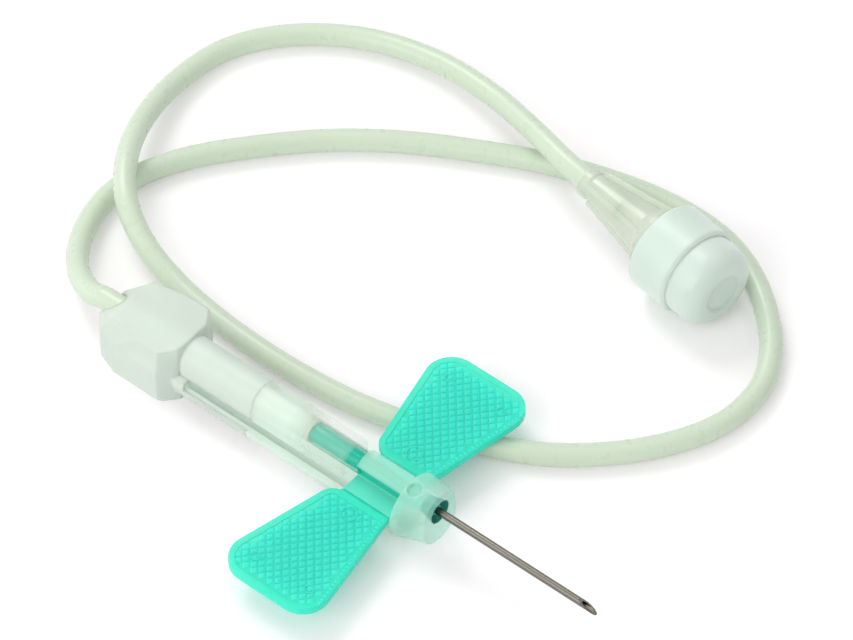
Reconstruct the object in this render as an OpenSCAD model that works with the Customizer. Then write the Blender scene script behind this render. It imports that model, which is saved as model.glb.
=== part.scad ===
// Winged infusion set with a sliding needle sleeve, lying on a table.
// X runs forward along the needle, Y to its left, Z up. Z = 0 is the table.

/* [Needle] */
// Outer diameter of the cannula
needle_d = 0.8; // [0.5:0.05:1.2]
// Bore of the cannula
needle_bore_d = 0.5; // [0.2:0.05:0.8]
// Bare cannula in front of the collar
needle_out = 19.5; // [12:0.5:32]
// Length of the bevel at the point
bevel_l = 2.2; // [1.5:0.1:3]
// Height of the needle's axis above the table
axis_z = 5; // [4.8:0.1:7]

/* [Hub] */
// Diameter of the hub's barrel
hub_d = 1.74; // [1.6:0.02:1.8]
// Length of the barrel behind the collar's front face
hub_l = 16; // [15:0.5:18]
// Length of the cone at the hub's nose
nose_l = 1; // [0.6:0.1:2]
// Diameter of the nose at its tip
nose_d = 1.1; // [1:0.05:1.4]
// Thickness of the webs that carry the wings
web_t = 0.5; // [0.3:0.05:0.6]
// Width of the keel between the barrel and the webs
keel_w = 1.2; // [0.8:0.1:1.6]
// Glue line between the cannula and the hub
glue_gap = 0.02; // [0.01:0.01:0.05]

/* [Wings] */
// Span from tip to tip with the wings flat
wing_span = 35.2; // [28:0.4:40]
// Thickness of a wing at its rim
wing_t = 0.8; // [0.7:0.05:0.9]
// Depth of the pads' recess on each face
pad_depth = 0.08; // [0.05:0.01:0.15]
// Width of the plain rim round the pad
rim_w = 0.7; // [0.6:0.1:1.5]
// Drop of the wings' plane below the needle's axis
wing_drop = 1.7; // [1.6:0.05:1.8]
// Distance from the centre line to the fold of each wing
fold_y = 3.2; // [3.2:0.05:3.5]
// Front of the webs, behind the collar's front face
root_front = 4; // [3.9:0.1:5]
// Length of the webs along the needle
root_l = 6; // [4:0.1:6.2]
// Front of the wing tips, behind the collar's front face
tip_front = 1.6; // [1.5:0.1:4]
// Length of the wing tips along the needle
tip_l = 12.7; // [8:0.1:13]
// Radius of the corners of the wing tips
tip_r = 2.8; // [1:0.2:4]
// Length of the heel of a wing behind its web
heel_l = 1; // [0.4:0.1:1]
// Radius of the heel's corner
heel_r = 1.6; // [1:0.1:2]
// Running clearance between a wing and its web
fold_gap = 0.05; // [0.03:0.01:0.1]

/* [Sleeve] */
// Outer radius of the sleeve's top, about the needle's axis
spine_r = 2.1; // [2.1:0.02:2.2]
// Outer radius of the sleeve's rounded body
body_r = 3; // [2.8:0.05:3.1]
// Wall of the sleeve
wall = 0.75; // [0.6:0.05:0.8]
// Height of the side slots that the webs run in
slot_h = 0.9; // [0.85:0.05:1.3]
// Length of sleeve in front of the point when it is fully forward
cover = 0.5; // [0.3:0.1:1]
// Free length of slot behind the webs at full travel
slot_spare = 0.6; // [0.3:0.1:1]
// Start of the sleeve's top, behind the collar's front face
top_start = 10.9; // [10.5:0.1:12]
// Depth of the step in the sleeve under the grip's neck
seam_step = 0.35; // [0.25:0.05:0.4]
// Clearance of the glued fit in the grip
fit_gap = 0.03; // [0.02:0.01:0.05]

/* [Collar] */
// Length of the collar
collar_l = 3.6; // [3:0.1:3.7]
// Radius of the collar's rear rim
collar_r = 3.5; // [3.3:0.05:3.5]
// Radius of the upper half of the collar's front face
face_top_r = 2.35; // [1.9:0.05:2.4]
// Radius of the lower half of the collar's front face
face_low_r = 2.5; // [2.2:0.05:2.8]
// Drop of the collar's rim below the needle's axis
collar_drop = 1.5; // [1.4:0.05:1.5]
// Radius of the recess round the needle
recess_r = 1.3; // [1.1:0.05:1.5]
// Depth of the recess
recess_l = 1.6; // [1:0.1:2]
// Clearance between the hub's barrel and the collar's bore
guide_gap = 0.1; // [0.05:0.01:0.12]
// Wall of the bridge over the hub
bridge_t = 0.66; // [0.5:0.02:0.7]
// Rear end of the bridge, behind the collar's front face
bridge_end = 9.4; // [8:0.2:10]
// Angle that the bridge spans
bridge_angle = 110; // [90:5:140]
// Length of the tongue in the sleeve's trough
tongue_l = 3; // [2:0.2:4]
// Diameter of the gate dimple
dimple_d = 1.5; // [1:0.1:1.8]
// Turn of the dimple from the top towards the right
dimple_turn = 19; // [0:1:30]

/* [Grip] */
// Width of the grip across its flats
grip_w = 8.6; // [7.6:0.2:10]
// Height of the grip above the needle's axis
grip_rise = 2.5; // [2.4:0.1:3]
// Length of the grip behind its shoulder
grip_l = 9.6; // [9:0.2:12]
// Length of the taper from the neck to the shoulder
shoulder_l = 1.2; // [1:0.1:1.3]
// Solid length between the end of the slots and the shoulder
shoulder_gap = 2.4; // [2.3:0.1:3]
// Length of the neck in front of the shoulder
neck_l = 10.6; // [8:0.2:12]
// Solid length of the grip behind the sleeve
rear_l = 4.6; // [4:0.2:6]

/* [Tubing] */
// Outer diameter of the tubing
tube_d = 2.4; // [2:0.05:2.4]
// Clearance round the tubing where it passes through a piece
tube_gap = 0.15; // [0.1:0.01:0.15]

/* [Connector] */
// Length of the connector from its inlet to its mouth
connector_l = 18.6; // [17:0.2:20]
// Outer diameter of the inlet
inlet_d = 3.3; // [3.2:0.1:3.8]
// Length of the inlet's collar
inlet_l = 0.8; // [0.6:0.1:2.4]
// Depth of the tubing's socket
socket_l = 5; // [4:0.5:6]
// Clearance of the glued tubing in its socket
socket_gap = 0.05; // [0.03:0.01:0.08]
// Bore between the socket and the tapered mouth
passage_d = 1.6; // [1.2:0.1:2]
// Diameter of the tapered bore at the mouth
mouth_d = 4.28; // [4.2:0.02:4.32]
// Length of the tapered bore
mouth_l = 7.6; // [7:0.2:8]
// Outer diameter of the mouth's barrel
barrel_d = 5.8; // [5.4:0.1:6]
// Diameter of the flange behind the cap
flange_d = 7.3; // [6.8:0.1:7.6]
// Diameter across the two locking lugs
lug_d = 7.8; // [7.4:0.1:7.9]

/* [Cap] */
// Outer diameter of the cap
cap_d = 9.8; // [9.4:0.1:9.8]
// Length of the cap
cap_l = 9; // [8.6:0.1:9.4]
// Length of the wider rear part of the cap
cap_rim_l = 5.2; // [4:0.1:6]
// Diameter of the narrower front part
cap_nose_d = 9; // [8.8:0.1:9.2]
// Wall of the cap's skirt
cap_wall = 0.75; // [0.5:0.05:0.8]
// Clearance between the cap and the connector
cap_gap = 0.06; // [0.05:0.01:0.1]

/* [Hidden] */
fine = 72;
coarse = 40;

// Stations along the sleeve, behind the collar's front face
root_rear = root_front + root_l;
tip_rear = tip_front + tip_l;
travel = needle_out + cover;
slot_end = root_rear + travel + slot_spare;
shoulder = slot_end + shoulder_gap;
seam = shoulder - neck_l;
sleeve_l = shoulder + grip_l;
sleeve_end = sleeve_l - rear_l;

// The frame's origin is midway between the grip's rear and the needle's point
front_x = (sleeve_l - needle_out) / 2;
hub_r = hub_d / 2;
guide_r = hub_r + guide_gap;
bead_r = wing_t / 2;
web_y = fold_y - bead_r - fold_gap;
slot_top = -wing_drop + slot_h / 2;
slot_low = -wing_drop - slot_h / 2;
body_drop = axis_z - body_r;
tube_r = tube_d / 2;
channel_r = tube_r + tube_gap;

// The glued stretch of cannula ends short of the barrel's tail
cannula_seat = 1.5;
tail_chamfer = 0.25;

// Facets of the grip: its tapered rear, its sloping rear top, and the chamfer round its base and top
rear_taper = 3.8;
rear_cut = 1.4;
rear_cut_side = 0.9;
top_slope = 3;
top_inset = 0.4;
base_inset = 0.8;
base_rise = 1;

// Connector and cap, where they lie
connector_pos = [-4.6, 43.22, 4.9];
connector_turn = -9.5;
connector_dir = [cos(connector_turn), sin(connector_turn), 0];
cap_start = connector_l + 1.65 - cap_l;
lead_in = 2.5;
taper = 0.03;
plug_l = 5.6;
plug_core_r = 1.1;
end_play = 0.1;

// Route of the tubing after the grip: back past the needle, under a wing and round to the connector
route = [
    [-34.2, 0.4, 3.9], [-37.6, 2.3, 2.8], [-40.5, 5.5, 1.9], [-42.4, 9.3, 1.4], [-43.2, 13, 1.2],
    [-42.6, 17.5, 1.2], [-40.2, 22.5, 1.2], [-36.2, 27.7, 1.2], [-31, 33.2, 1.2], [-25, 37.9, 1.2],
    [-18.4, 41.8, 1.2], [-12.2, 44.9, 1.2], [-5.5, 47.3, 1.2], [1.5, 48.7, 1.2], [8, 48.6, 1.2],
    [13.2, 46.9, 1.2], [17.8, 43.8, 1.2], [21.6, 39.8, 1.2], [23.9, 35, 1.2], [23.8, 29, 1.2],
    [21.2, 23.3, 1.2], [17.3, 18.5, 1.2], [12.8, 14.7, 1.2], [7.5, 11.9, 1.2], [1.7, 9.7, 1.2],
    [-4.4, 8.1, 1.2], [-10.5, 7.3, 1.2], [-17, 7.1, 1.2], [-23.9, 7.5, 1.2], [-30.2, 8.4, 1.5],
    [-35.7, 9.8, 2.6], [-40.2, 12.4, 3.8], [-43.8, 16.8, 3.9], [-46.6, 22.5, 2.8], [-48.2, 29.6, 1.6],
    [-47.4, 36.6, 1.2], [-43.4, 42.4, 1.2], [-37, 46.8, 1.3], [-29, 48.6, 1.8], [-21.1, 47.9, 2.7],
    [-14.6, 46, 3.9]
];
tube_start = [front_x - hub_l, 0, axis_z];
grip_exit = [front_x - sleeve_l - 0.4, 0, axis_z];
tube_points = concat([tube_start, grip_exit], route,
    [connector_pos - lead_in * connector_dir, connector_pos + socket_l * connector_dir]);
tube_sides = 8;

// Puts what is drawn about the needle's axis, with X = 0 at the collar's front face, in the frame
module on_needle() {
    translate([front_x, 0, axis_z]) children();
}

// Extrudes a section drawn as [Y, Z] from one X to another
module extrude_x(from, to) {
    translate([from, 0, 0]) rotate([90, 0, 90]) linear_extrude(to - from) children();
}

// Turns a profile drawn as [radius, X] about the X axis
module revolve_x(sides = fine) {
    rotate([90, 0, 90]) rotate_extrude($fn = sides) children();
}

// A round hole or rod along X
module rod_x(r, from, to, sides = fine) {
    translate([from, 0, 0]) rotate([0, 90, 0]) cylinder(r = r, h = to - from, $fn = sides);
}

// Section of the sleeve: a narrow top about the needle above a round body
module sleeve_section(grow = 0) {
    top_r = spine_r + grow;
    low_r = body_r + grow;
    circle(r = top_r, $fn = fine);
    translate([-top_r, slot_low]) square([2 * top_r, -slot_low]);
    intersection() {
        translate([0, -body_drop]) circle(r = low_r, $fn = fine);
        translate([-low_r, -body_drop - low_r]) square([2 * low_r, low_r + body_drop + slot_top + grow]);
    }
}

// Side slots for the webs, open towards the collar
module web_slots() {
    translate([-slot_end, -grip_w, slot_low]) cube([slot_end, 2 * grip_w, slot_h]);
}

// Steel tube with a sloping point
module cannula() {
    color([0.72, 0.73, 0.75])
    on_needle()
    difference() {
        rod_x(needle_d / 2, -hub_l + cannula_seat, needle_out);
        rod_x(needle_bore_d / 2, -hub_l, needle_out + 1);
        translate([needle_out, 0, -needle_d / 2])
            rotate([0, atan(needle_d / bevel_l), 0])
            translate([-2 * bevel_l, -needle_d, 0])
            cube([3 * bevel_l, 2 * needle_d, 2 * needle_d]);
    }
}

// Barrel round the cannula with a keel and two thin webs
module hub() {
    color([0.05, 0.62, 0.5])
    on_needle()
    difference() {
        union() {
            revolve_x() polygon([
                [0, -hub_l], [hub_r - tail_chamfer, -hub_l], [hub_r, -hub_l + tail_chamfer],
                [hub_r, -recess_l + 0.2], [nose_d / 2, nose_l - recess_l + 0.2], [0, nose_l - recess_l + 0.2]
            ]);
            translate([-root_rear, -keel_w / 2, -wing_drop]) cube([root_l, keel_w, wing_drop]);
            translate([-root_rear, -web_y, -wing_drop - web_t / 2]) cube([root_l, 2 * web_y, web_t]);
        }
        rod_x(needle_d / 2 + glue_gap, -hub_l + cannula_seat, nose_l);
        rod_x(needle_bore_d / 2, -hub_l - 1, -hub_l + cannula_seat + 1);
    }
}

// Outline of a wing as [X, Y] on the left side, drawn inboard of the fold before it is cut there
module wing_plan() {
    reach = wing_span / 2 - fold_y;
    slope_front = (tip_front - root_front) / reach;
    slope_rear = (tip_rear - root_rear - heel_l) / reach;
    inboard = 2 * tip_r;
    intersection() {
        offset(r = tip_r, $fn = coarse) offset(delta = -tip_r) polygon([
            [-root_rear - heel_l + slope_rear * inboard, fold_y - inboard],
            [-root_front + slope_front * inboard, fold_y - inboard],
            [-tip_front, wing_span / 2], [-tip_rear, wing_span / 2]
        ]);
        translate([-2 * tip_rear, fold_y]) square([4 * tip_rear, wing_span]);
    }
}

// The same outline with its heel rounded and its front corner left sharp
module wing_outline() {
    offset(r = heel_r, $fn = coarse) offset(delta = -heel_r) wing_plan();
    intersection() {
        wing_plan();
        translate([-root_rear + root_l / 2, 0]) square([tip_rear, wing_span]);
    }
}

// One wing on the left side: a rounded inner edge at the fold, a rim and a sunk pad on each face
module wing() {
    translate([0, 0, -wing_drop])
    difference() {
        union() {
            translate([0, 0, -wing_t / 2]) linear_extrude(wing_t) wing_outline();
            translate([0, fold_y, 0]) rod_x(bead_r, -root_rear, -root_front);
        }
        for (side = [-1, 1])
            translate([0, 0, side * (wing_t - pad_depth) / 2 - pad_depth / 2 - (side < 0 ? 1 : 0)])
                linear_extrude(pad_depth + 1) offset(delta = -rim_w) wing_outline();
    }
}

module left_wing() {
    color([0.15, 0.85, 0.7]) on_needle() wing();
}

module right_wing() {
    color([0.15, 0.85, 0.7]) on_needle() mirror([0, 1, 0]) wing();
}

// Slotted sleeve, thinner behind the seam where the grip's neck goes over it
module sleeve() {
    color([0.82, 0.92, 0.86])
    on_needle()
    difference() {
        union() {
            extrude_x(-seam, -collar_l) sleeve_section();
            extrude_x(-sleeve_end, -seam) sleeve_section(-seam_step);
        }
        extrude_x(-sleeve_end - 1, 0) sleeve_section(-wall);
        web_slots();
        translate([-top_start, -2 * body_r, slot_low]) cube([top_start, 4 * body_r, 4 * spine_r]);
    }
}

// Front ring with the bridge over the hub and a tongue in the sleeve's trough
module collar() {
    color([0.84, 0.93, 0.88])
    on_needle()
    difference() {
        union() {
            hull() {
                extrude_x(-0.3, 0) {
                    circle(r = face_top_r, $fn = coarse);
                    translate([0, -collar_drop]) circle(r = face_low_r, $fn = coarse);
                }
                extrude_x(-collar_l, -collar_l + 0.4)
                    translate([0, -collar_drop]) circle(r = collar_r, $fn = coarse);
            }
            rotate([90 - bridge_angle / 2, 0, 0]) rotate([90, 0, 90])
                translate([0, 0, -bridge_end])
                rotate_extrude(angle = bridge_angle, $fn = fine)
                translate([guide_r, 0]) square([bridge_t, bridge_end - 0.5]);
            intersection() {
                extrude_x(-collar_l - tongue_l, -collar_l + 0.5) sleeve_section(-wall - fit_gap);
                translate([-collar_l - tongue_l - 1, -body_r, -2 * body_r])
                    cube([tongue_l + 2, 2 * body_r, 2 * body_r + slot_low - fit_gap]);
            }
        }
        rod_x(guide_r, -collar_l - 1, 1);
        revolve_x() polygon([
            [0, -recess_l], [guide_r, -recess_l], [recess_r, 0], [recess_r, 1], [0, 1]
        ]);
        rotate([dimple_turn, 0, 0]) translate([-collar_l + dimple_d / 2 + 0.2, 0, collar_r - collar_drop - 0.5])
            cylinder(d = dimple_d, h = 2, $fn = fine);
    }
}

// Outline of the grip as [X, Y] at one height, from the neck round to the tubing's exit
module grip_outline(rear, side, neck_side, tail_side) {
    taper_x = -rear + rear_taper;
    corner_x = -rear + rear_cut;
    left = [[-shoulder + shoulder_l, neck_side], [-shoulder, side], [taper_x, side],
        [corner_x, side - rear_cut_side], [-rear, tail_side]];
    right = [for (i = [len(left) - 1:-1:0]) [left[i].x, -left[i].y]];
    polygon(concat(left, right));
}

// Faceted finger grip with a neck over the rear of the sleeve
module grip() {
    slice = 0.02;
    half = grip_w / 2;
    neck_half = spine_r + 0.2;
    tail_half = channel_r + 0.55;
    color([0.84, 0.93, 0.88])
    on_needle()
    difference() {
        union() {
            extrude_x(-shoulder - 1, -seam) sleeve_section();
            hull() {
                translate([0, 0, -axis_z]) linear_extrude(slice)
                    grip_outline(sleeve_l - base_inset / 2, half - base_inset, neck_half - 0.3, tail_half - 0.5);
                translate([0, 0, -axis_z + base_rise]) linear_extrude(axis_z - base_rise)
                    grip_outline(sleeve_l, half, neck_half, tail_half);
                translate([0, 0, grip_rise - slice]) linear_extrude(slice)
                    grip_outline(sleeve_l - top_slope, half - top_inset, neck_half - 0.1, half - 1.3);
            }
        }
        extrude_x(-sleeve_end - fit_gap, 0) sleeve_section(-seam_step + fit_gap);
        rod_x(channel_r, -sleeve_l - 1, 0);
        web_slots();
    }
}

// Unit vector
function unit(v) = v / norm(v);

// Direction of the route at point i, between its neighbours
function heading(points, i) =
    unit(points[min(i + 1, len(points) - 1)] - points[max(i - 1, 0)]);

// Corner k of the ring at point i
function ring_corner(points, i, k) =
    let (along = heading(points, i), side = unit(cross([0, 0, 1], along)), up = cross(along, side),
        angle = 360 * k / tube_sides)
    points[i] + tube_r * (cos(angle) * side + sin(angle) * up);

// Soft tubing swept along its route
module tubing() {
    last = len(tube_points) - 1;
    corners = [for (i = [0:last], k = [0:tube_sides - 1]) ring_corner(tube_points, i, k)];
    sides = [for (i = [0:last - 1], k = [0:tube_sides - 1])
        let (a = i * tube_sides + k, b = i * tube_sides + (k + 1) % tube_sides)
        [a, b, b + tube_sides, a + tube_sides]];
    start_cap = [[for (k = [tube_sides - 1:-1:0]) k]];
    end_cap = [[for (k = [0:tube_sides - 1]) last * tube_sides + k]];
    color([0.82, 0.87, 0.75]) polyhedron(points = corners, faces = concat(start_cap, sides, end_cap));
}

// Puts what is drawn along X from the inlet's rear face where the connector lies
module on_connector() {
    translate(connector_pos) rotate([0, 0, connector_turn]) children();
}

// Clear female connector with a tapered mouth, fins and two locking lugs
module connector() {
    flange_x = cap_start - 1;
    color([0.8, 0.9, 0.82])
    on_connector()
    difference() {
        union() {
            revolve_x() polygon([
                [0, 0], [inlet_d / 2, 0], [inlet_d / 2, inlet_l], [inlet_d / 2 - 0.15, inlet_l + 0.3],
                [barrel_d / 2 - 0.2, flange_x - 1.2], [flange_d / 2, flange_x], [flange_d / 2, cap_start - 0.2],
                [barrel_d / 2, cap_start - 0.2], [barrel_d / 2, connector_l], [0, connector_l]
            ]);
            intersection() {
                rod_x(lug_d / 2, connector_l - 1.2, connector_l - 0.2);
                translate([0, -1.5, -lug_d]) cube([connector_l, 3, 2 * lug_d]);
            }
            for (turn = [45:90:315]) rotate([turn, 0, 0]) hull() {
                translate([inlet_l + 0.4, -0.25, 0]) cube([0.4, 0.5, inlet_d / 2 + 0.3]);
                translate([flange_x - 0.4, -0.25, 0]) cube([0.4, 0.5, flange_d / 2 - 0.3]);
            }
        }
        rod_x(tube_r + socket_gap, -1, socket_l);
        rod_x(passage_d / 2, socket_l - 1, connector_l);
        revolve_x() polygon([
            [0, connector_l - mouth_l], [mouth_d / 2 - taper * mouth_l, connector_l - mouth_l],
            [mouth_d / 2, connector_l], [mouth_d / 2, connector_l + 1], [0, connector_l + 1]
        ]);
    }
}

// Round cap with a plug in the connector's mouth
module luer_cap() {
    cap_r = cap_d / 2;
    nose_r = cap_nose_d / 2;
    nose_round = 2;
    cap_end = cap_start + cap_l;
    skirt_r = cap_r - cap_wall;
    inner_end = connector_l + end_play;
    plug_start = connector_l - plug_l;
    plug_r = mouth_d / 2 - cap_gap;
    color([0.84, 0.93, 0.89])
    on_connector()
    revolve_x() polygon([
        [skirt_r, cap_start], [cap_r - 0.3, cap_start], [cap_r, cap_start + 0.3],
        [cap_r, cap_start + cap_rim_l - 0.3], [cap_r - 0.3, cap_start + cap_rim_l],
        [nose_r, cap_start + cap_rim_l],
        for (angle = [0:15:90]) [nose_r - nose_round * (1 - cos(angle)), cap_end - nose_round * (1 - sin(angle))],
        [2.2, cap_end], [2, cap_end - 0.2], [0, cap_end - 0.2],
        [0, plug_start + 4], [plug_core_r, plug_start + 4], [plug_core_r, plug_start],
        [plug_r - taper * plug_l, plug_start], [plug_r, connector_l], [plug_r, inner_end],
        [skirt_r - 0.05, inner_end]
    ]);
}

cannula();
hub();
left_wing();
right_wing();
sleeve();
collar();
grip();
tubing();
connector();
luer_cap();
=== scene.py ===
"""Dresses a winged infusion set: camera, studio, tubing, wing texture and moulded-plastic finishes."""

import logging
import math
from dataclasses import dataclass
from enum import Enum

import bmesh
import bpy
from mathutils import Matrix, Vector
from mathutils.bvhtree import BVHTree


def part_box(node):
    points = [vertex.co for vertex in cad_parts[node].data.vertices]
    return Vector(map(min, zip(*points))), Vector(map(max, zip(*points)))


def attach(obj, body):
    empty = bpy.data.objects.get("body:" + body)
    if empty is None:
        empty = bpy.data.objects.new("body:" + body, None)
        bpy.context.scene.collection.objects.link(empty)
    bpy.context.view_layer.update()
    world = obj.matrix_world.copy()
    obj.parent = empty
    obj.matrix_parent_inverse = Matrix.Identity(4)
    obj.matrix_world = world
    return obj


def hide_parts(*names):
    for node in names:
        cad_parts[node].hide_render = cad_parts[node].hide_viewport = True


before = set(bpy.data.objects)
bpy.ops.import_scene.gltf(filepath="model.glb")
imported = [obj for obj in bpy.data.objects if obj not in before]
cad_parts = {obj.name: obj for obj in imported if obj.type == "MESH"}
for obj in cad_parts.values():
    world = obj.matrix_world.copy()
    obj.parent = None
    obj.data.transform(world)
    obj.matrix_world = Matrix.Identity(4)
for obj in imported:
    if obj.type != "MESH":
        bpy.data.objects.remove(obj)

MM = 0.001
logger = logging.getLogger("infusion_set")

# The colour sockets of a Mix node: its two inputs and its output
MIX_FIRST, MIX_SECOND, MIX_RESULT = 6, 7, 2

Colour = tuple[float, float, float]
Socket = bpy.types.NodeSocket


class Body(Enum):
    """The moving bodies that the added pieces ride on."""

    NEEDLE = "needle_body"
    LEFT_WING = "left_wing"
    RIGHT_WING = "right_wing"


def srgb(red: int, green: int, blue: int) -> Colour:
    """Turns a colour written as 0 to 255 into the linear values that the shaders take.

    Args:
        red: Red, 0 to 255.
        green: Green, 0 to 255.
        blue: Blue, 0 to 255.

    Returns:
        The linear colour.
    """

    def linear(value: float) -> float:
        """Undoes the display curve for one channel."""
        return value / 12.92 if value <= 0.04045 else ((value + 0.055) / 1.055) ** 2.4

    return linear(red / 255), linear(green / 255), linear(blue / 255)


@dataclass(frozen=True)
class Viewpoint:
    """Where the camera stands and what it looks at, in metres and degrees.

    Attributes:
        target: Point on the table at the middle of the picture.
        distance: From the target to the camera.
        elevation: Of the camera above the table.
        heading: Of the line of sight on the table, from the needle's direction.
        lens: Focal length in millimetres.
        sensor: Width of the sensor in millimetres.
    """

    target: tuple[float, float, float] = (-0.0081, 0.0216, 0.0)
    distance: float = 0.65
    elevation: float = 48.8
    heading: float = 129.7
    lens: float = 272.4
    sensor: float = 36.0

    def build(self) -> bpy.types.Object:
        """Makes the camera and sets it as the scene's own.

        Returns:
            The camera object.
        """
        rise, turn = math.radians(self.elevation), math.radians(self.heading)
        sight = Vector((math.cos(rise) * math.cos(turn), math.cos(rise) * math.sin(turn), -math.sin(rise)))
        data = bpy.data.cameras.new("camera")
        data.lens = self.lens
        data.sensor_width = self.sensor
        data.clip_start = 0.01
        camera = bpy.data.objects.new("camera", data)
        camera.location = Vector(self.target) - sight * self.distance
        camera.rotation_euler = sight.to_track_quat("-Z", "Y").to_euler()
        bpy.context.scene.collection.objects.link(camera)
        bpy.context.scene.camera = camera
        return camera


def new_object(name: str, mesh: bpy.types.Mesh) -> bpy.types.Object:
    """Links a mesh to the scene as an object at the origin."""
    piece = bpy.data.objects.new(name, mesh)
    bpy.context.scene.collection.objects.link(piece)
    return piece


def bmesh_object(name: str, shape: bmesh.types.BMesh, smooth: bool = True) -> bpy.types.Object:
    """Turns a finished bmesh into an object and frees it.

    Args:
        name: Name of the piece.
        shape: The finished bmesh.
        smooth: Whether its faces are shaded smooth.

    Returns:
        The object, at the origin.
    """
    bmesh.ops.recalc_face_normals(shape, faces=shape.faces)
    mesh = bpy.data.meshes.new(name)
    shape.to_mesh(mesh)
    shape.free()
    for face in mesh.polygons:
        face.use_smooth = smooth
    return new_object(name, mesh)


def spin_section(
    shape: bmesh.types.BMesh, points: list[Vector], centre: Vector, axis: tuple[int, int, int], steps: int
) -> None:
    """Spins a closed section through a full turn.

    Args:
        shape: The bmesh that it goes into.
        points: Corners of the section in order, in metres.
        centre: A point on the axis, in metres.
        axis: Direction of the axis.
        steps: Facets round it.
    """
    corners = [shape.verts.new(point) for point in points]
    edges = [shape.edges.new((corners[index - 1], corners[index])) for index in range(len(corners))]
    bmesh.ops.spin(
        shape, geom=corners + edges, cent=centre, axis=axis, angle=2 * math.pi, steps=steps, use_merge=True
    )


class NodeTree:
    """A thin wrapper that adds nodes and links to a material or a node group."""

    def __init__(self, tree: bpy.types.NodeTree) -> None:
        """Keeps the tree that the nodes go into."""
        self.tree = tree

    def add(self, kind: str, **values: object) -> bpy.types.Node:
        """Adds a node and sets its sockets and properties.

        Args:
            kind: Blender's name of the node type.
            **values: Values by socket name or property name, with underscores for spaces.

        Returns:
            The node.
        """
        node = self.tree.nodes.new(kind)
        for name, value in values.items():
            socket = node.inputs.get(name.replace("_", " "))
            if socket is not None:
                socket.default_value = value
            else:
                setattr(node, name, value)
        return node

    def link(self, source: Socket, target: Socket) -> None:
        """Links one socket to another."""
        self.tree.links.new(source, target)

    def combine(self, operation: str, *values: Socket | float) -> Socket:
        """Joins two or more values, one after the other, by the same operation of a Math node.

        Args:
            operation: Blender's name of the operation.
            *values: Sockets or plain numbers.

        Returns:
            The result.
        """
        total = values[0]
        for value in values[1:]:
            step = self.add("ShaderNodeMath", operation=operation)
            for socket, part in zip(step.inputs, (total, value)):
                if isinstance(part, float):
                    socket.default_value = part
                else:
                    self.link(part, socket)
            total = step.outputs[0]
        return total

    def blend(
        self, share: Socket, first: Socket | Colour, second: Socket | Colour
    ) -> Socket:
        """Blends two colours.

        Args:
            share: How far the blend goes from the first colour to the second.
            first: The colour where the share is 0.
            second: The colour where the share is 1.

        Returns:
            The blended colour.
        """
        mix = self.add("ShaderNodeMix", data_type="RGBA")
        self.link(share, mix.inputs["Factor"])
        for index, colour in ((MIX_FIRST, first), (MIX_SECOND, second)):
            if isinstance(colour, tuple):
                mix.inputs[index].default_value = (*colour, 1.0)
            else:
                self.link(colour, mix.inputs[index])
        return mix.outputs[MIX_RESULT]

    def ramp(
        self, value: Socket, start: float, length: float, low: float, high: float
    ) -> bpy.types.Node:
        """Turns a value into a ramp that is level before its start and after its end.

        Args:
            value: The value that it follows.
            start: Where it starts.
            length: How far it is to its end.
            low: The result before the start.
            high: The result after the end.

        Returns:
            The Map Range node.
        """
        node = self.add("ShaderNodeMapRange", To_Min=low, To_Max=high)
        node.inputs["From Min"].default_value = start
        node.inputs["From Max"].default_value = start + length
        self.link(value, node.inputs["Value"])
        return node


def moulded_surface_group() -> bpy.types.NodeTree:
    """Builds the shader group for moulded plastic, once.

    Its inputs are Vector, Colour, Deep Colour, Cloud Scale, Cloud Amount, Roughness, Roughness Spread and
    Grain Scale. Its outputs are Colour, Roughness and Height.

    Returns:
        The node group.
    """
    name = "moulded_surface"
    if name in bpy.data.node_groups:
        return bpy.data.node_groups[name]
    group = bpy.data.node_groups.new(name, "ShaderNodeTree")
    sockets = [
        ("Vector", "NodeSocketVector"), ("Colour", "NodeSocketColor"), ("Deep Colour", "NodeSocketColor"),
        ("Cloud Scale", "NodeSocketFloat"), ("Cloud Amount", "NodeSocketFloat"),
        ("Roughness", "NodeSocketFloat"), ("Roughness Spread", "NodeSocketFloat"),
        ("Grain Scale", "NodeSocketFloat"),
    ]
    results = [("Colour", "NodeSocketColor"), ("Roughness", "NodeSocketFloat"), ("Height", "NodeSocketFloat")]
    for way, labels in (("INPUT", sockets), ("OUTPUT", results)):
        for label, kind in labels:
            group.interface.new_socket(name=label, in_out=way, socket_type=kind)
    nodes = NodeTree(group)
    source = nodes.add("NodeGroupInput")
    result = nodes.add("NodeGroupOutput")
    cloud = nodes.add("ShaderNodeTexNoise", Detail=3.0, Roughness=0.55)
    grain = nodes.add("ShaderNodeTexNoise", Detail=4.0, Roughness=0.6)
    nodes.link(source.outputs["Vector"], cloud.inputs["Vector"])
    nodes.link(source.outputs["Vector"], grain.inputs["Vector"])
    nodes.link(source.outputs["Cloud Scale"], cloud.inputs["Scale"])
    nodes.link(source.outputs["Grain Scale"], grain.inputs["Scale"])
    share = nodes.add("ShaderNodeMath", operation="MULTIPLY", use_clamp=True)
    nodes.link(cloud.outputs["Fac"], share.inputs[0])
    nodes.link(source.outputs["Cloud Amount"], share.inputs[1])
    clouded = nodes.blend(share.outputs[0], source.outputs["Colour"], source.outputs["Deep Colour"])
    nodes.link(clouded, result.inputs["Colour"])
    spread = nodes.add("ShaderNodeMath", operation="MULTIPLY_ADD")
    nodes.link(grain.outputs["Fac"], spread.inputs[0])
    nodes.link(source.outputs["Roughness Spread"], spread.inputs[1])
    nodes.link(source.outputs["Roughness"], spread.inputs[2])
    nodes.link(spread.outputs[0], result.inputs["Roughness"])
    nodes.link(grain.outputs["Fac"], result.inputs["Height"])
    return group


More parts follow.
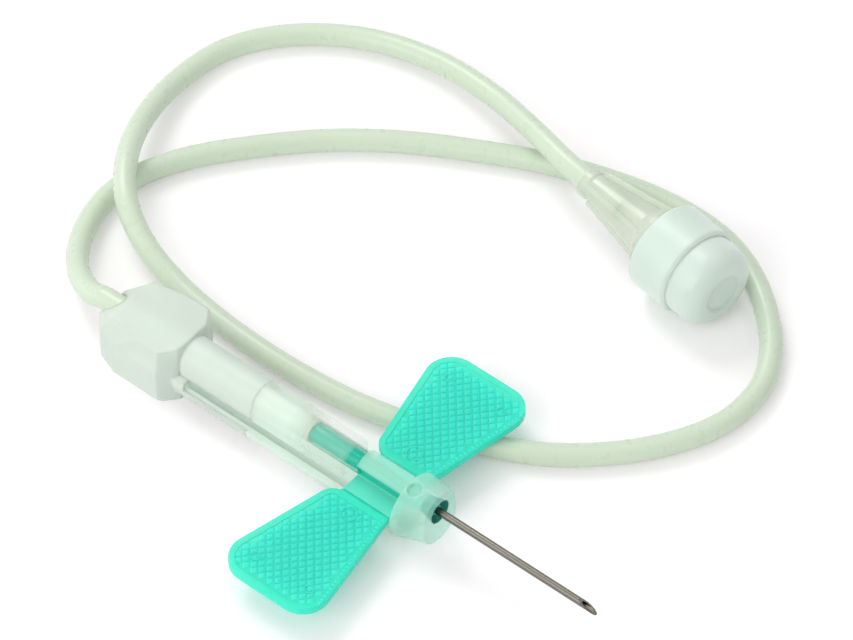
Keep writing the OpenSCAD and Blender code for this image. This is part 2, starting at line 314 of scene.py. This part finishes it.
@dataclass(frozen=True)
class MouldedFinish:
    """A translucent moulded plastic.

    Attributes:
        name: Name of the material.
        colour: Colour where the plastic is thin.
        deep: Colour of its faint clouds.
        roughness: Lowest roughness of the surface.
        spread: How far the grain raises the roughness.
        scatter: Weight of the light scattered inside.
        depth: Depth of that scatter in metres.
        ior: Index of refraction.
        cloud_scale: Clouds per metre.
        cloud_amount: Strength of the clouds.
        grain_scale: Grain per metre.
        bump: Depth of the grain in metres.
        coat: Weight of the clear gloss on top.
        coat_roughness: Roughness of that gloss.
        alpha: How solid the surface is.
        sheen_level: Strength of its plain reflection, where 0.5 is glass.
        edge: Radius in metres that its sharp edges seem to have.
        foot_alpha: How solid the surface is near the table, or 0 for the same all over.
        foot_top: Height in metres where the foot starts to turn into the rest.
        foot_fade: Height in metres over which its solidness does.
        foot_shading_fade: Height in metres over which its painted shading does.
        foot_shading_colour: Colour painted on that foot as light and shade, or None for the same as the rest:
            painted shade low on the sleeve, painted light on the hub's thin web.
        mouth_shade_colour: Painted shade inside the mouth round the needle, a dark form of the hub's green,
            or None for the same as the rest.
        mouth_radius: Radius in metres of that mouth.
        mouth_start: X in metres where that mouth starts.
        axis_height: Height in metres of the needle's axis.
        front_alpha: How solid the surface is towards the needle's tip, or 0 for the same all along.
        front_start: X in metres where that front part starts.
        front_fade: Length in metres over which it clears.
        glow_through: Share of its solidness that the light itself does not meet, as in milky plastic.
    """

    name: str
    colour: Colour
    deep: Colour
    roughness: float = 0.25
    spread: float = 0.15
    scatter: float = 0.0
    depth: float = 0.002
    ior: float = 1.45
    cloud_scale: float = 160.0
    cloud_amount: float = 1.1
    grain_scale: float = 900.0
    bump: float = 0.00002
    coat: float = 0.0
    coat_roughness: float = 0.12
    alpha: float = 1.0
    sheen_level: float = 0.5
    edge: float = 0.0
    foot_alpha: float = 0.0
    foot_top: float = 0.0028
    foot_fade: float = 0.0012
    foot_shading_fade: float = 0.0003
    foot_shading_colour: Colour | None = None
    mouth_shade_colour: Colour | None = None
    mouth_radius: float = 0.0015
    mouth_start: float = 0.0
    axis_height: float = 0.005
    front_alpha: float = 0.0
    front_start: float = -0.0066
    front_fade: float = 0.0028
    glow_through: float = 0.0

    def build(self) -> bpy.types.Material:
        """Makes the material.

        Returns:
            The material, with its surface shader in its own tree.
        """
        material = bpy.data.materials.new(self.name)
        material.use_nodes = True
        nodes = NodeTree(material.node_tree)
        shader = material.node_tree.nodes["Principled BSDF"]
        shader.inputs["IOR"].default_value = self.ior
        shader.inputs["Subsurface Weight"].default_value = self.scatter
        shader.inputs["Subsurface Radius"].default_value = (1.0, 1.0, 1.0)
        shader.inputs["Subsurface Scale"].default_value = self.depth
        shader.inputs["Coat Weight"].default_value = self.coat
        shader.inputs["Coat Roughness"].default_value = self.coat_roughness
        shader.inputs["Specular IOR Level"].default_value = self.sheen_level
        place = nodes.add("ShaderNodeTexCoord")
        surface = nodes.add("ShaderNodeGroup", node_tree=moulded_surface_group())
        surface.inputs["Colour"].default_value = (*self.colour, 1.0)
        surface.inputs["Deep Colour"].default_value = (*self.deep, 1.0)
        surface.inputs["Cloud Scale"].default_value = self.cloud_scale
        surface.inputs["Cloud Amount"].default_value = self.cloud_amount
        surface.inputs["Roughness"].default_value = self.roughness
        surface.inputs["Roughness Spread"].default_value = self.spread
        surface.inputs["Grain Scale"].default_value = self.grain_scale
        nodes.link(place.outputs["Object"], surface.inputs["Vector"])
        mouth = self.build_colour(nodes, place, surface.outputs["Colour"], shader)
        nodes.link(surface.outputs["Roughness"], shader.inputs["Roughness"])
        bump = nodes.add("ShaderNodeBump", Strength=1.0, Distance=self.bump)
        nodes.link(surface.outputs["Height"], bump.inputs["Height"])
        nodes.link(bump.outputs["Normal"], shader.inputs["Normal"])
        self.build_alpha(nodes, place, shader, mouth)
        if self.edge:
            soft_edge = nodes.add("ShaderNodeBevel", Radius=self.edge)
            nodes.link(soft_edge.outputs["Normal"], bump.inputs["Normal"])
        return material

    def build_colour(
        self, nodes: NodeTree, place: bpy.types.Node, colour: Socket, shader: bpy.types.Node
    ) -> Socket | None:
        """Paints light and shade on the foot and shade in the mouth, where the finish asks for it.

        Args:
            nodes: The material's tree.
            place: Its texture coordinates.
            colour: The colour that the rest of the surface has.
            shader: Its surface shader.

        Returns:
            A socket that is 1 in the mouth and 0 elsewhere, or None where there is no mouth.
        """
        split = nodes.add("ShaderNodeSeparateXYZ")
        nodes.link(place.outputs["Object"], split.inputs["Vector"])
        # Painted light and shade on the foot: its own colour below the foot's top, blended in over a short
        # rise.
        if self.foot_shading_colour is not None:
            share = nodes.ramp(split.outputs["Z"], self.foot_top, self.foot_shading_fade, 1.0, 0.0)
            colour = nodes.blend(share.outputs["Result"], colour, self.foot_shading_colour)
        mouth = None
        # Painted shade inside the mouth round the needle, in a dark form of the hub's green.
        if self.mouth_shade_colour is not None:
            offset = nodes.add("ShaderNodeVectorMath", operation="SUBTRACT")
            offset.inputs[1].default_value = (0.0, 0.0, self.axis_height)
            flat = nodes.add("ShaderNodeVectorMath", operation="MULTIPLY")
            flat.inputs[1].default_value = (0.0, 1.0, 1.0)
            radius = nodes.add("ShaderNodeVectorMath", operation="LENGTH")
            nodes.link(place.outputs["Object"], offset.inputs[0])
            nodes.link(offset.outputs["Vector"], flat.inputs[0])
            nodes.link(flat.outputs["Vector"], radius.inputs[0])
            inner = nodes.combine("LESS_THAN", radius.outputs["Value"], self.mouth_radius)
            ahead = nodes.combine("GREATER_THAN", split.outputs["X"], self.mouth_start)
            mouth = nodes.combine("MULTIPLY", inner, ahead)
            colour = nodes.blend(mouth, colour, self.mouth_shade_colour)
        nodes.link(colour, shader.inputs["Base Color"])
        return mouth

    def build_alpha(
        self, nodes: NodeTree, place: bpy.types.Node, shader: bpy.types.Node, mouth: Socket | None
    ) -> None:
        """Makes the surface clearer in front, more solid at its foot, and lets light in.

        Args:
            nodes: The material's tree.
            place: Its texture coordinates.
            shader: Its surface shader.
            mouth: A socket that is 1 where the surface is fully solid, or None.
        """
        if not (self.foot_alpha or self.glow_through or mouth):
            shader.inputs["Alpha"].default_value = self.alpha
            return
        level = self.alpha
        if self.foot_alpha:
            split = nodes.add("ShaderNodeSeparateXYZ")
            nodes.link(place.outputs["Object"], split.inputs["Vector"])
            ahead = self.front_alpha or self.alpha
            front = nodes.ramp(split.outputs["X"], self.front_start, self.front_fade, self.alpha, ahead)
            rise = nodes.ramp(split.outputs["Z"], self.foot_top, self.foot_fade, self.foot_alpha, self.alpha)
            nodes.link(front.outputs["Result"], rise.inputs["To Max"])
            level = rise.outputs["Result"]
        if mouth is not None:
            level = nodes.combine("MAXIMUM", level, mouth)
        path = nodes.add("ShaderNodeLightPath")
        inside = nodes.combine("MAXIMUM", path.outputs["Is Shadow Ray"], path.outputs["Is Diffuse Ray"])
        share = nodes.ramp(inside, 0.0, 1.0, 1.0, 1.0 - self.glow_through)
        nodes.link(nodes.combine("MULTIPLY", level, share.outputs["Result"]), shader.inputs["Alpha"])


@dataclass(frozen=True)
class SteelFinish:
    """Drawn stainless steel with fine lines along the needle.

    Attributes:
        name: Name of the material.
        colour: Colour of the steel.
        dark: Brightness of its darkest lines, as a share of the colour.
        line_scale: Lines per metre across the needle.
        line_stretch: The same along the needle, as a share of that.
        roughness: Lowest and highest roughness.
        bump: Depth of the lines in metres.
    """

    name: str = "drawn_steel"
    colour: Colour = srgb(126, 122, 113)
    dark: float = 0.8
    line_scale: float = 9000.0
    line_stretch: float = 0.02
    roughness: tuple[float, float] = (0.18, 0.36)
    bump: float = 0.000004

    def build(self) -> bpy.types.Material:
        """Makes the material.

        Returns:
            The material.
        """
        material = bpy.data.materials.new(self.name)
        material.use_nodes = True
        nodes = NodeTree(material.node_tree)
        shader = material.node_tree.nodes["Principled BSDF"]
        shader.inputs["Metallic"].default_value = 1.0
        place = nodes.add("ShaderNodeTexCoord")
        stretch = nodes.add("ShaderNodeMapping", Scale=(self.line_stretch, 1.0, 1.0))
        lines = nodes.add("ShaderNodeTexNoise", Scale=self.line_scale, Detail=2.0)
        nodes.link(place.outputs["Object"], stretch.inputs["Vector"])
        nodes.link(stretch.outputs["Vector"], lines.inputs["Vector"])
        rough = nodes.ramp(lines.outputs["Fac"], 0.0, 1.0, *self.roughness)
        nodes.link(rough.outputs["Result"], shader.inputs["Roughness"])
        darker = tuple(channel * self.dark for channel in self.colour)
        nodes.link(nodes.blend(lines.outputs["Fac"], self.colour, darker), shader.inputs["Base Color"])
        bump = nodes.add("ShaderNodeBump", Strength=1.0, Distance=self.bump)
        nodes.link(lines.outputs["Fac"], bump.inputs["Height"])
        nodes.link(bump.outputs["Normal"], shader.inputs["Normal"])
        return material


def dress(piece: bpy.types.Object, material: bpy.types.Material) -> None:
    """Gives a piece one material in its only slot."""
    slots = piece.data.materials
    if not slots:
        slots.append(material)
    for index in range(len(slots)):
        slots[index] = material


class Finishes:
    """The finishes of the set, each built once."""

    def __init__(self) -> None:
        """Builds the materials."""
        self.steel = SteelFinish().build()
        # The hub's paler foot colour is painted light on its thin web, which is the same green plastic as the
        # barrel.
        self.hub = MouldedFinish(
            name="green_hub", colour=srgb(4, 198, 170), deep=srgb(0, 182, 152), roughness=0.12, spread=0.1,
            scatter=0.4, depth=0.0006, alpha=0.82, sheen_level=0.4, foot_alpha=0.86, foot_top=0.0037,
            foot_shading_colour=srgb(98, 232, 206), glow_through=0.8,
        ).build()
        self.jacket = MouldedFinish(
            name="clear_green_jacket", colour=srgb(22, 205, 177), deep=srgb(8, 191, 161),
            roughness=0.12, spread=0.1, scatter=0.4, depth=0.0006, alpha=0.42, glow_through=0.8, coat=0.2,
        ).build()
        self.wing = MouldedFinish(
            name="turquoise_wing", colour=srgb(52, 244, 213), deep=srgb(36, 236, 202),
            roughness=0.3, spread=0.12, scatter=0.5, depth=0.0006, sheen_level=0.25, alpha=0.76, edge=0.00015,
            glow_through=0.4,
        ).build()
        # A lighter, solid copy of the wing's plastic: painted light on the tops of the raised work.
        self.raised = MouldedFinish(
            name="turquoise_diamonds_lit", colour=srgb(58, 250, 222), deep=srgb(40, 242, 212),
            roughness=0.3, spread=0.12, scatter=0.5, depth=0.0006, sheen_level=0.25,
        ).build()
        # The sleeve's darker foot colour is painted shade on its lower part, near the table.
        self.sleeve = MouldedFinish(
            name="milky_sleeve", colour=srgb(227, 241, 229), deep=srgb(217, 234, 220),
            roughness=0.25, spread=0.1, scatter=0.4, depth=0.0006, alpha=0.55, foot_alpha=0.92,
            front_alpha=0.1, foot_shading_colour=srgb(214, 233, 219), glow_through=0.9,
        ).build()
        # The collar's dark green mouth colour is painted shade in the recess round the needle.
        self.collar = MouldedFinish(
            name="milky_collar", colour=srgb(192, 245, 227), deep=srgb(174, 238, 217),
            roughness=0.28, spread=0.1, scatter=0.4, depth=0.0006, alpha=0.4, edge=0.0002, glow_through=0.4,
            mouth_shade_colour=srgb(46, 140, 124), mouth_radius=0.00132, mouth_start=0.0099,
        ).build()
        self.grip = MouldedFinish(
            name="milky_grip", colour=srgb(215, 227, 215), deep=srgb(205, 219, 206),
            roughness=0.35, spread=0.12, scatter=0.4, depth=0.0008, alpha=0.8, edge=0.0005, glow_through=0.9,
        ).build()
        self.tubing = MouldedFinish(
            name="soft_tubing", colour=srgb(214, 228, 208), deep=srgb(207, 222, 200),
            roughness=0.25, spread=0.06, scatter=0.4, depth=0.0008, cloud_scale=60.0, bump=0.0000003,
            alpha=0.88, glow_through=0.45,
        ).build()
        self.connector = MouldedFinish(
            name="clear_connector", colour=srgb(214, 223, 206), deep=srgb(203, 215, 196),
            roughness=0.15, spread=0.08, scatter=0.3, depth=0.0008, alpha=0.62, coat=0.3, glow_through=0.7,
        ).build()
        self.cap = MouldedFinish(
            name="milky_cap", colour=srgb(216, 230, 220), deep=srgb(206, 222, 212),
            roughness=0.3, spread=0.12, scatter=0.4, depth=0.001, coat=0.1, edge=0.0005,
        ).build()


@dataclass
class Tubing:
    """The soft tube from the hub's tail to the connector, all in millimetres.

    Attributes:
        outer: Outer diameter.
        bore: Bore diameter.
        steps: Points on the smooth line between two points of the route.
        sides: Facets round the tube.
        hub_tail: Where the tube leaves the hub.
        grip_exit: Where it leaves the grip.
        socket_mouth: Where it enters the connector.
        socket_end: Where it ends in the connector.
    """

    outer: float = 2.4
    bore: float = 1.3
    steps: int = 6
    sides: int = 20
    hub_tail: tuple[float, float, float] = (-4.45, 0.0, 5.0)
    grip_exit: tuple[float, float, float] = (-31.45, 0.0, 5.0)
    socket_mouth: tuple[float, float, float] = (-7.066, 43.633, 4.9)
    socket_end: tuple[float, float, float] = (0.331, 42.395, 4.9)

    def route(self) -> list[Vector]:
        """The points that the tube follows, the same as in the solid model.

        Returns:
            The points in metres.
        """
        free = [
            (-34.2, 0.4, 3.9), (-37.6, 2.3, 2.8), (-40.5, 5.5, 1.9), (-42.4, 9.3, 1.4), (-43.2, 13, 1.2),
            (-42.6, 17.5, 1.2), (-40.2, 22.5, 1.2), (-36.2, 27.7, 1.2), (-31, 33.2, 1.2), (-25, 37.9, 1.2),
            (-18.4, 41.8, 1.2), (-12.2, 44.9, 1.2), (-5.5, 47.3, 1.2), (1.5, 48.7, 1.2), (8, 48.6, 1.2),
            (13.2, 46.9, 1.2), (17.8, 43.8, 1.2), (21.6, 39.8, 1.2), (23.9, 35, 1.2), (23.8, 29, 1.2),
            (21.2, 23.3, 1.2), (17.3, 18.5, 1.2), (12.8, 14.7, 1.2), (7.5, 11.9, 1.2), (1.7, 9.7, 1.2),
            (-4.4, 8.1, 1.2), (-10.5, 7.3, 1.2), (-17, 7.1, 1.2), (-23.9, 7.5, 1.2), (-30.2, 8.4, 1.5),
            (-35.7, 9.8, 2.6), (-40.2, 12.4, 3.8), (-43.8, 16.8, 3.9), (-46.6, 22.5, 2.8), (-48.2, 29.6, 1.6),
            (-47.4, 36.6, 1.2), (-43.4, 42.4, 1.2), (-37, 46.8, 1.3), (-29, 48.6, 1.8), (-21.1, 47.9, 2.7),
            (-14.6, 46, 3.9),
        ]
        points = [self.hub_tail, self.grip_exit, *free, self.socket_mouth, self.socket_end]
        return [Vector(point) * MM for point in points]

    def smooth_line(self) -> list[Vector]:
        """Runs a smooth curve through the route's points.

        Returns:
            Closely spaced points in metres.
        """
        points = self.route()
        line = [points[0]]
        for index in range(1, len(points)):
            start, end = points[index - 1], points[index]
            before = points[max(index - 2, 0)]
            after = points[min(index + 1, len(points) - 1)]
            reach = (end - start).length
            leave = (end - before).normalized() * reach
            arrive = (after - start).normalized() * reach
            straight = index == 1 or index == len(points) - 1
            for step in range(1, self.steps + 1):
                t = step / self.steps
                if straight:
                    line.append(start.lerp(end, t))
                    continue
                line.append(
                    start * (2 * t**3 - 3 * t**2 + 1) + leave * (t**3 - 2 * t**2 + t)
                    + end * (3 * t**2 - 2 * t**3) + arrive * (t**3 - t**2)
                )
        return line

    def wall(self, name: str, line: list[Vector], diameter: float) -> bpy.types.Object:
        """Sweeps a round section along the line.

        Args:
            name: Name of the piece.
            line: The points that it follows.
            diameter: Its diameter in millimetres.

        Returns:
            The swept mesh, open at both ends.
        """
        curve = bpy.data.curves.new(name, "CURVE")
        curve.dimensions = "3D"
        curve.bevel_depth = diameter / 2 * MM
        curve.bevel_resolution = self.sides // 4
        spline = curve.splines.new("POLY")
        spline.points.add(len(line) - 1)
        for point, place in zip(spline.points, line):
            point.co = (*place, 1.0)
        guide = bpy.data.objects.new(name + "_guide", curve)
        bpy.context.scene.collection.objects.link(guide)
        bpy.context.view_layer.update()
        mesh = bpy.data.meshes.new_from_object(guide.evaluated_get(bpy.context.evaluated_depsgraph_get()))
        bpy.data.objects.remove(guide)
        mesh.name = name
        for face in mesh.polygons:
            face.use_smooth = True
        return new_object(name, mesh)

    def build(self, finish: bpy.types.Material) -> bpy.types.Object:
        """Args:
            finish: The tube's material.

        Returns:
            The tube.
        """
        line = self.smooth_line()
        tube = self.wall("tubing_soft", line, self.outer)
        thickness = tube.modifiers.new("wall", "SOLIDIFY")
        thickness.thickness = (self.outer - self.bore) / 2 * MM
        thickness.offset = -1.0
        dress(tube, finish)
        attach(tube, Body.NEEDLE.value)
        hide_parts("tubing")
        return tube


@dataclass
class BarrelJacket:
    """The clear outer wall of the hub's barrel behind the bridge, in millimetres.

    Attributes:
        rear: X of the barrel's rear end.
        front: X where the bridge starts.
        axis_z: Height of the needle's axis.
        outer: Outer radius.
        inner: Inner radius, just inside the barrel's own wall.
        round_r: Radius of its rounded rear edge.
        front_round: Radius of its front edge.
        sides: Facets round it.
    """

    rear: float = -4.4
    front: float = 2.0
    axis_z: float = 5.0
    outer: float = 1.2
    inner: float = 0.8
    round_r: float = 0.35
    front_round: float = 0.1
    sides: int = 32

    def profile(self) -> list[tuple[float, float]]:
        """Draws the section.

        Returns:
            The corners of the section as X and radius, in order.
        """
        corners = [(self.front, self.inner), (self.rear, self.inner)]
        for turn in (0, 30, 60, 90):
            angle = math.radians(turn)
            x = self.rear + self.round_r * (1 - math.cos(angle))
            corners.append((x, self.outer - self.round_r * (1 - math.sin(angle))))
        corners += [(self.front - self.front_round, self.outer), (self.front, self.outer - self.front_round)]
        return corners

    def build(self, finish: bpy.types.Material) -> bpy.types.Object:
        """Makes the jacket.

        Args:
            finish: Its material.

        Returns:
            The jacket, which rides on the needle's body.
        """
        shape = bmesh.new()
        section = [Vector((x, radius, self.axis_z)) * MM for x, radius in self.profile()]
        spin_section(shape, section, Vector((0, 0, self.axis_z)) * MM, (1, 0, 0), self.sides)
        jacket = bmesh_object("hub_jacket", shape)
        dress(jacket, finish)
        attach(jacket, Body.NEEDLE.value)
        return jacket


@dataclass(frozen=True)
class Stud:
    """A small tapered stud, in millimetres.

    Attributes:
        sides: Number of its sides.
        base: Radius of its base.
        top: Radius of its top.
        stretch: How much longer it is across the needle than along it.
    """

    sides: int
    base: float
    top: float
    stretch: float = 1.0


@dataclass
class WingPips:
    """The fine raised work on a wing's faces, in millimetres: diamonds, edge beads and witness rings.

    Attributes:
        diamond: Spacing of the diamonds along the needle and across it, corner to corner.
        height: Of a diamond or a bead above the face that it stands on.
        cover: Share of its place that a diamond's base fills.
        reach: Share of its place that must lie on the pad.
        crown: Share of its place that a diamond's top fills.
        sink: How far each mark goes into the face that it stands on.
        pad_depth: Depth of the pads below the wing's rim.
        level_gap: How far the face may lie from the pad's height and still be the pad.
        bead: A bead on the front rim.
        bead_pitch: From one bead to the next.
        bead_inset: From the front edge to the row of beads, as X and distance from the centre line.
        front_root: Where the front edge leaves the fold, as X and distance from the centre line.
        front_tip: Where the front edge meets the rounded tip.
        rings: Witness rings as X, distance from the centre line, and radius.
        ring_wire: Thickness of a ring.
        ring_lift: How far a ring stands above the diamonds.
        ring_steps: Facets round a ring.
    """

    diamond: tuple[float, float] = (1.03, 1.21)
    height: float = 0.045
    cover: float = 0.98
    reach: float = 0.3
    crown: float = 0.45
    sink: float = 0.02
    pad_depth: float = 0.08
    level_gap: float = 0.02
    bead: Stud = Stud(8, 0.2, 0.1)
    bead_pitch: float = 0.52
    bead_inset: tuple[float, float] = (-0.35, 0.35)
    front_root: tuple[float, float] = (7.55, 3.2)
    front_tip: tuple[float, float] = (9.55, 15.0)
    rings: tuple[tuple[float, float, float], ...] = ((4.2, 5.0, 0.85), (7.3, 14.6, 0.5), (0.6, 14.8, 0.5))
    ring_wire: float = 0.1
    ring_lift: float = 0.02
    ring_steps: int = 24

    def places(self, wing: bpy.types.Object, pad_z: float, up: float) -> list[Vector]:
        """Finds the lattice points whose diamond stands mostly on the pad. The higher rim hides the rest.

        Args:
            wing: The wing's CAD node.
            pad_z: Height of the pad's face in metres.
            up: 1 for the upper pad and -1 for the lower one.

        Returns:
            The centres of the diamonds, in metres.
        """
        tree = BVHTree.FromObject(wing, bpy.context.evaluated_depsgraph_get())
        low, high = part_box(wing.name)
        half_x, half_y = (size / 2 * MM for size in self.diamond)
        found = []
        rows, columns = int((high.x - low.x) / half_x), int((high.y - low.y) / half_y)
        origin = Vector(((low.x + high.x) / 2, (low.y + high.y) / 2, 0))
        for row in range(-rows, rows + 1):
            for column in range(-columns, columns + 1):
                if (row + column) % 2:
                    continue
                place = origin + Vector((row * half_x, column * half_y, 0))
                corners = [
                    place + Vector((dx, dy, 0)) * self.reach
                    for dx, dy in ((half_x, 0), (-half_x, 0), (0, half_y), (0, -half_y))
                ]
                on_pad = True
                for corner in corners:
                    hit = tree.ray_cast(Vector((corner.x, corner.y, pad_z + up * MM)), Vector((0, 0, -up)))[0]
                    on_pad = on_pad and hit is not None and abs(hit.z - pad_z) < self.level_gap * MM
                if on_pad:
                    found.append(Vector((place.x, place.y, pad_z)))
        return found

    def add_stud(self, shape: bmesh.types.BMesh, place: Vector, up: float, stud: Stud) -> None:
        """Adds one small tapered stud to the shape.

        Args:
            shape: The bmesh that it goes into.
            place: Centre of its base in metres.
            up: 1 where it stands up and -1 where it hangs down.
            stud: Its sizes.
        """
        lift = Vector((0, 0, (self.height - self.sink) / 2 * MM * up))
        stretch = Matrix.Diagonal((1, stud.stretch, 1, 1))
        turn = Matrix.Rotation(0 if up > 0 else math.pi, 4, "X")
        bmesh.ops.create_cone(
            shape, cap_ends=True, segments=stud.sides, radius1=stud.base * MM, radius2=stud.top * MM,
            depth=(self.height + self.sink) * MM, matrix=Matrix.Translation(place + lift) @ stretch @ turn,
        )

    def add_beads(self, shape: bmesh.types.BMesh, side: float, rim_z: float, up: float) -> None:
        """Adds the row of beads along the front rim.

        Args:
            shape: The bmesh that they go into.
            side: 1 for the left wing and -1 for the right one.
            rim_z: Height of the rim's face in metres.
            up: 1 for the upper face and -1 for the lower one.
        """
        inset = Vector((*self.bead_inset, 0))
        start = Vector((*self.front_root, 0)) + inset
        end = Vector((*self.front_tip, 0)) + inset
        count = int((end - start).length / self.bead_pitch)
        for index in range(count + 1):
            spot = start.lerp(end, index / count)
            place = Vector((spot.x * MM, side * spot.y * MM, rim_z))
            self.add_stud(shape, place, up, self.bead)

    def add_ring(self, shape: bmesh.types.BMesh, centre: Vector, radius: float, up: float) -> None:
        """Adds one thin raised ring, spun from a small square.

        Args:
            shape: The bmesh that it goes into.
            centre: Its centre on the pad, in metres.
            radius: Its radius in millimetres.
            up: 1 for the upper face and -1 for the lower one.
        """
        low, high = -self.sink * MM * up, (self.height + self.ring_lift) * MM * up
        near, far = (radius - self.ring_wire / 2) * MM, (radius + self.ring_wire / 2) * MM
        square = ((near, 0, low), (far, 0, low), (far, 0, high), (near, 0, high))
        section = [centre + Vector(offset) for offset in square]
        spin_section(shape, section, centre, (0, 0, 1), self.ring_steps)

    def build(self, node: str, finish: bpy.types.Material) -> bpy.types.Object:
        """Makes the raised work of both faces of one wing.

        Args:
            node: Name of the wing's node.
            finish: A lighter, solid copy of the wing's material, painted light on the raised work.

        Returns:
            The raised work, as one piece.
        """
        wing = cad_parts[node]
        low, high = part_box(node)
        side = 1.0 if low.y + high.y > 0 else -1.0
        length, width = self.diamond
        diamond = Stud(4, length / 2 * self.cover, length / 2 * self.crown, width / length)
        shape = bmesh.new()
        for up, rim_z in ((1, high.z), (-1, low.z)):
            pad_z = rim_z - up * self.pad_depth * MM
            for place in self.places(wing, pad_z, up):
                self.add_stud(shape, place, up, diamond)
            self.add_beads(shape, side, rim_z, up)
            if up > 0:
                for x, away, radius in self.rings:
                    self.add_ring(shape, Vector((x * MM, side * away * MM, pad_z)), radius, up)
        logger.info("%s: %d faces of raised work", node, len(shape.faces))
        pips = bmesh_object(node + "_pips", shape, smooth=False)
        dress(pips, finish)
        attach(pips, node)
        return pips


@dataclass(frozen=True)
class Lamp:
    """A square lamp that faces the set, in metres and watts.

    Attributes:
        name: Name of the lamp.
        place: Where it hangs.
        size: Its width.
        power: Its power.
    """

    name: str
    place: tuple[float, float, float]
    size: float
    power: float

    def build(self) -> None:
        """Makes the lamp."""
        data = bpy.data.lights.new(self.name, "AREA")
        data.size = self.size
        data.energy = self.power
        lamp = bpy.data.objects.new(self.name, data)
        lamp.location = self.place
        lamp.rotation_euler = (-Vector(self.place)).to_track_quat("-Z", "Y").to_euler()
        bpy.context.scene.collection.objects.link(lamp)


@dataclass(frozen=True)
class Studio:
    """Floor, lamps and world, in metres.

    Attributes:
        floor_size: Width of the floor.
        floor_tone: Colour of the floor.
        floor_glow: How much brighter the floor is where it is seen.
        world_level: Strength of the light from all round.
        lamps: The key lamp on the left behind the set, and the fill lamp beside the camera.
    """

    floor_size: float = 6.0
    floor_tone: Colour = (0.94, 0.92, 0.93)
    floor_glow: float = 0.1
    world_level: float = 0.66
    lamps: tuple[Lamp, ...] = (
        Lamp("key_lamp", (-0.75, 0.28, 0.95), 0.55, 5.2),
        Lamp("fill_lamp", (-0.05, -0.95, 0.6), 0.9, 5.4),
    )

    def build(self) -> None:
        """Makes the floor, the lamps and the world."""
        self.build_floor()
        for lamp in self.lamps:
            lamp.build()
        self.build_world()

    def seen_rays(self, nodes: NodeTree) -> Socket:
        """Tells the rays that show the background, straight, mirrored or through a clear piece.

        Args:
            nodes: The tree that asks.

        Returns:
            A socket that is 1 for such a ray and 0 for light that only falls on the set.
        """
        path = nodes.add("ShaderNodeLightPath")
        kinds = ("Is Camera Ray", "Is Glossy Ray", "Is Transmission Ray")
        return nodes.combine("MAXIMUM", *(path.outputs[kind] for kind in kinds))

    def build_floor(self) -> None:
        """Makes the pale floor, which the camera sees a little brighter than the set does."""
        shape = bmesh.new()
        bmesh.ops.create_grid(shape, x_segments=1, y_segments=1, size=self.floor_size / 2)
        floor = bmesh_object("floor", shape)
        material = bpy.data.materials.new("pale_floor")
        material.use_nodes = True
        nodes = NodeTree(material.node_tree)
        shader = material.node_tree.nodes["Principled BSDF"]
        shader.inputs["Base Color"].default_value = (*self.floor_tone, 1.0)
        shader.inputs["Roughness"].default_value = 0.9
        shader.inputs["Specular IOR Level"].default_value = 0.0
        shader.inputs["Emission Color"].default_value = (1.0, 1.0, 1.0, 1.0)
        glow = nodes.combine("MULTIPLY", self.seen_rays(nodes), self.floor_glow)
        nodes.link(glow, shader.inputs["Emission Strength"])
        dress(floor, material)

    def build_world(self) -> None:
        """Makes the even white surroundings."""
        world = bpy.data.worlds.new("studio_world")
        world.use_nodes = True
        background = world.node_tree.nodes["Background"]
        background.inputs["Color"].default_value = (1.0, 1.0, 1.0, 1.0)
        nodes = NodeTree(world.node_tree)
        level = nodes.ramp(self.seen_rays(nodes), 0.0, 1.0, self.world_level, 1.0)
        nodes.link(level.outputs["Result"], background.inputs["Strength"])
        bpy.context.scene.world = world


class InfusionSet:
    """The whole set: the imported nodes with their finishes, and the pieces added round them."""

    def __init__(self, finishes: Finishes) -> None:
        """Keeps the finishes."""
        self.finishes = finishes

    def dress_nodes(self) -> None:
        """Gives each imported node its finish."""
        wear = {
            "cannula": self.finishes.steel, "hub": self.finishes.hub, "left_wing": self.finishes.wing,
            "right_wing": self.finishes.wing, "sleeve": self.finishes.sleeve, "collar": self.finishes.collar,
            "grip": self.finishes.grip, "connector": self.finishes.connector, "luer_cap": self.finishes.cap,
        }
        for node, finish in wear.items():
            dress(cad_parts[node], finish)
            logger.info("dressed %s", node)

    def build(self) -> None:
        """Builds the added pieces."""
        Tubing().build(self.finishes.tubing)
        self.dress_nodes()
        BarrelJacket().build(self.finishes.jacket)
        for node in (Body.LEFT_WING.value, Body.RIGHT_WING.value):
            WingPips().build(node, self.finishes.raised)


def main() -> None:
    """Builds the camera, the set and the studio."""
    logging.basicConfig(level=logging.INFO, format="%(name)s: %(message)s")
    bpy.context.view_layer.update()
    bpy.context.scene.view_settings.view_transform = "Standard"
    Viewpoint().build()
    InfusionSet(Finishes()).build()
    Studio().build()


if __name__ == "__main__":
    main()
